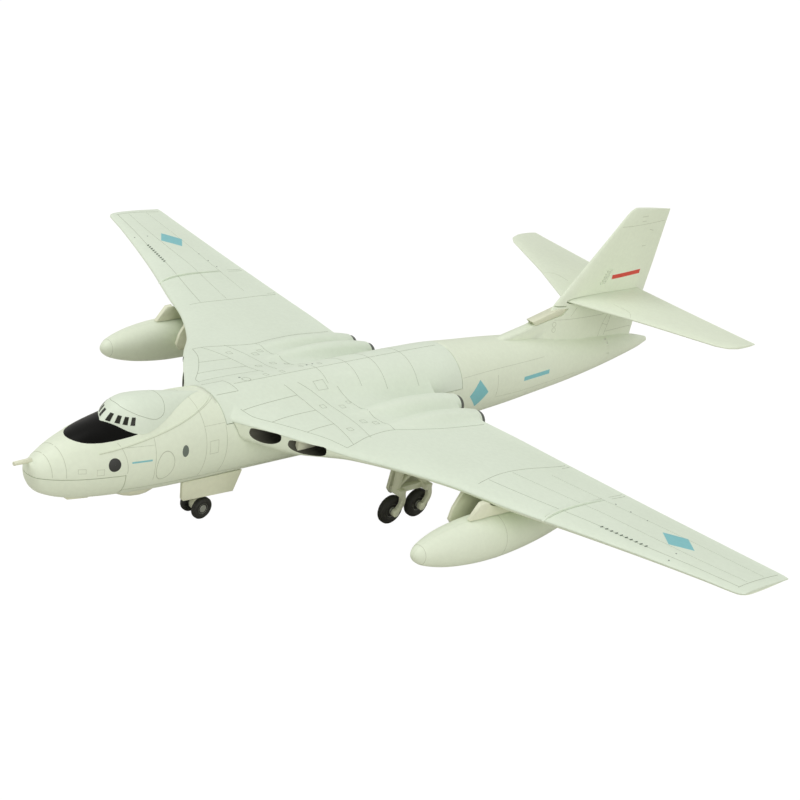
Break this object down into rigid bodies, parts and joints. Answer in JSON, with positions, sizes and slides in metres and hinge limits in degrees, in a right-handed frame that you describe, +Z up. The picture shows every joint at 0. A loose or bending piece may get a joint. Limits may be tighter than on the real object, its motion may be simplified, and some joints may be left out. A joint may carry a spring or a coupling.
{
  "type": "toy airplane",
  "caption": "Display model of a swept-wing jet aeroplane with wing-root intakes, underwing tanks, a high tailplane and rolling wheels.",
  "frame": {"origin": "on the ground midway along the length and the span, under the wing", "axes": "+X towards the port wing tip, -Y towards the nose, +Z up"},
  "size_m": [0.2436, 0.2332, 0.0682],
  "materials": {
    "cream_paint": "satin off-white paint on die-cast metal",
    "wing_paint": "satin off-white paint with a pale green tint on die-cast metal",
    "cream_plastic": "moulded off-white plastic",
    "dark_clear": "dark tinted clear plastic, polished",
    "exhaust_metal": "dark grey metallic paint",
    "tyre_black": "black moulded tyres",
    "hub_silver": "silver painted hubs",
    "steel": "plain steel pins and screws",
    "ballast": "rough cast weight"
  },
  "bodies": {
    "airframe": {"belly_blister": "cream_plastic", "belly_pan": "cream_paint", "belly_screw_front": "steel", "belly_screw_rear": "steel", "canopy_frame": "cream_paint", "canopy_glazing": "dark_clear", "fin_scoop": "cream_plastic", "fin_upper": "wing_paint", "fuselage_body": "cream_paint", "gear_door_inner_port": "cream_plastic", "gear_door_inner_starboard": "cream_plastic", "gear_door_outer_port": "cream_plastic", "gear_door_outer_starboard": "cream_plastic", "intake_vane_port": "cream_plastic", "intake_vane_starboard": "cream_plastic", "main_axle_port_front": "steel", "main_axle_port_rear": "steel", "main_axle_starboard_front": "steel", "main_axle_starboard_rear": "steel", "main_leg_port": "cream_plastic", "main_leg_starboard": "cream_plastic", "nose_aerial_plate": "cream_plastic", "nose_door_port": "cream_plastic", "nose_door_starboard": "cream_plastic", "nose_leg": "cream_plastic", "nose_probe": "cream_plastic", "nose_weight": "ballast", "nozzle_inner_port": "exhaust_metal", "nozzle_inner_starboard": "exhaust_metal", "nozzle_outer_port": "exhaust_metal", "nozzle_outer_starboard": "exhaust_metal", "radome": "cream_paint", "tailplane": "cream_plastic", "tank_inner_port": "cream_paint", "tank_inner_starboard": "cream_paint", "tank_outer_port": "cream_paint", "tank_outer_starboard": "cream_paint", "tank_pylon_port": "cream_plastic", "tank_pylon_starboard": "cream_plastic", "wing_lower_port": "wing_paint", "wing_lower_starboard": "wing_paint", "wing_upper": "wing_paint"},
    "main_wheel_port_front": {"main_wheel_port_front_hub": "hub_silver", "main_wheel_port_front_tyre": "tyre_black"},
    "main_wheel_port_rear": {"main_wheel_port_rear_hub": "hub_silver", "main_wheel_port_rear_tyre": "tyre_black"},
    "main_wheel_starboard_front": {"main_wheel_starboard_front_hub": "hub_silver", "main_wheel_starboard_front_tyre": "tyre_black"},
    "main_wheel_starboard_rear": {"main_wheel_starboard_rear_hub": "hub_silver", "main_wheel_starboard_rear_tyre": "tyre_black"},
    "nose_wheelset": {"nose_axle": "steel", "nose_wheel_port_hub": "hub_silver", "nose_wheel_port_tyre": "tyre_black", "nose_wheel_starboard_hub": "hub_silver", "nose_wheel_starboard_tyre": "tyre_black"}
  },
  "joints": [
    {"name": "nose_wheels_roll", "type": "hinge", "parent": "airframe", "child": "nose_wheelset", "pos_m": [0, -0.0576, 0.00297], "axis": [1, 0, 0], "continuous": true},
    {"name": "main_wheel_port_front_roll", "type": "hinge", "parent": "airframe", "child": "main_wheel_port_front", "pos_m": [0.0242, -0.0119, 0.00397], "axis": [1, 0, 0], "continuous": true},
    {"name": "main_wheel_port_rear_roll", "type": "hinge", "parent": "airframe", "child": "main_wheel_port_rear", "pos_m": [0.0242, -0.0021, 0.00397], "axis": [1, 0, 0], "continuous": true},
    {"name": "main_wheel_starboard_front_roll", "type": "hinge", "parent": "airframe", "child": "main_wheel_starboard_front", "pos_m": [-0.0242, -0.0119, 0.00397], "axis": [1, 0, 0], "continuous": true},
    {"name": "main_wheel_starboard_rear_roll", "type": "hinge", "parent": "airframe", "child": "main_wheel_starboard_rear", "pos_m": [-0.0242, -0.0021, 0.00397], "axis": [1, 0, 0], "continuous": true}
  ]
}
